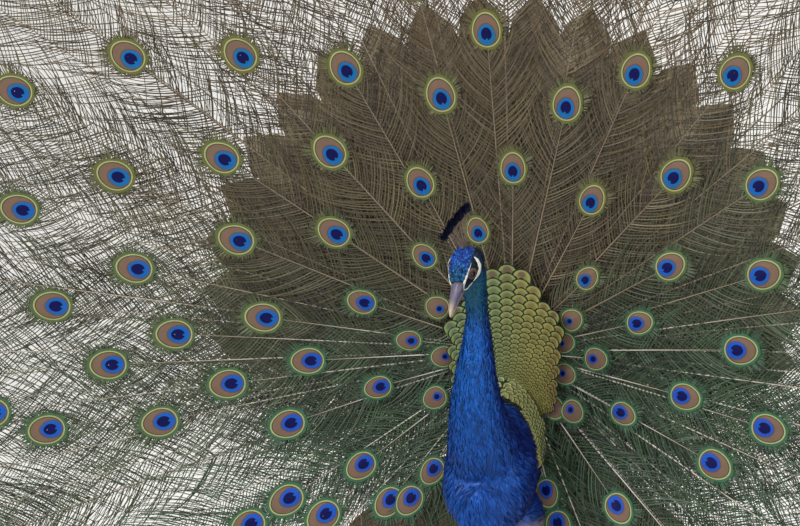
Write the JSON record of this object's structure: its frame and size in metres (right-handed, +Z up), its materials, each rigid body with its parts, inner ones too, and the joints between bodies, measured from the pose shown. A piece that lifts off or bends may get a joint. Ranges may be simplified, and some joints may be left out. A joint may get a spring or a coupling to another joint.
{
  "type": "peacock",
  "caption": "Life-size Indian peafowl cock standing in full display, train raised in a wide fan, neck upright, head turned and bowed, wings lowered behind.",
  "frame": {"origin": "on the floor, under the middle of the bounding box, between the feet", "axes": "+Z up; the bird faces -Y; its left side is +X"},
  "size_m": [2.2582, 0.5402, 1.6001],
  "materials": {
    "plumage_blue": "iridescent cobalt feathers",
    "plumage_teal": "iridescent teal feathers",
    "plumage_gold": "iridescent golden-green scale feathers",
    "train": "loose bronze-green barbs with eyespots",
    "tail": "matte brown-grey quill feathers",
    "wing": "barred buff and black feathers",
    "primaries": "matte chestnut quill feathers",
    "thigh": "matte buff feathers",
    "down": "fluffy grey-black down",
    "crest": "dark blue plumes on bare shafts",
    "bill": "smooth grey horn",
    "eye": "wet, polished",
    "leg": "scaly grey-brown skin",
    "claw": "dark horn"
  },
  "bodies": {
    "root": {"head": "plumage_blue", "neck_upper": "plumage_teal", "neck_lower": "plumage_blue", "trunk": "plumage_blue", "rump": "down", "back_shield": "plumage_gold", "bill_upper": "bill", "bill_lower": "bill", "eye_left": "eye", "eye_right": "eye", "crest": "crest", "train_01": "train", "train_02": "train", "train_03": "train", "train_04": "train", "train_05": "train", "train_06": "train", "train_07": "train", "train_08": "train", "train_09": "train", "tail_left": "tail", "tail_right": "tail", "wing_left": "wing", "primaries_left": "primaries", "thigh_left": "thigh", "shank_left": "leg", "foot_left": "leg", "spur_left": "claw", "claw_inner_left": "claw", "claw_middle_left": "claw", "claw_outer_left": "claw", "claw_hind_left": "claw", "wing_right": "wing", "primaries_right": "primaries", "thigh_right": "thigh", "shank_right": "leg", "foot_right": "leg", "spur_right": "claw", "claw_inner_right": "claw", "claw_middle_right": "claw", "claw_outer_right": "claw", "claw_hind_right": "claw"}
  },
  "joints": []
}
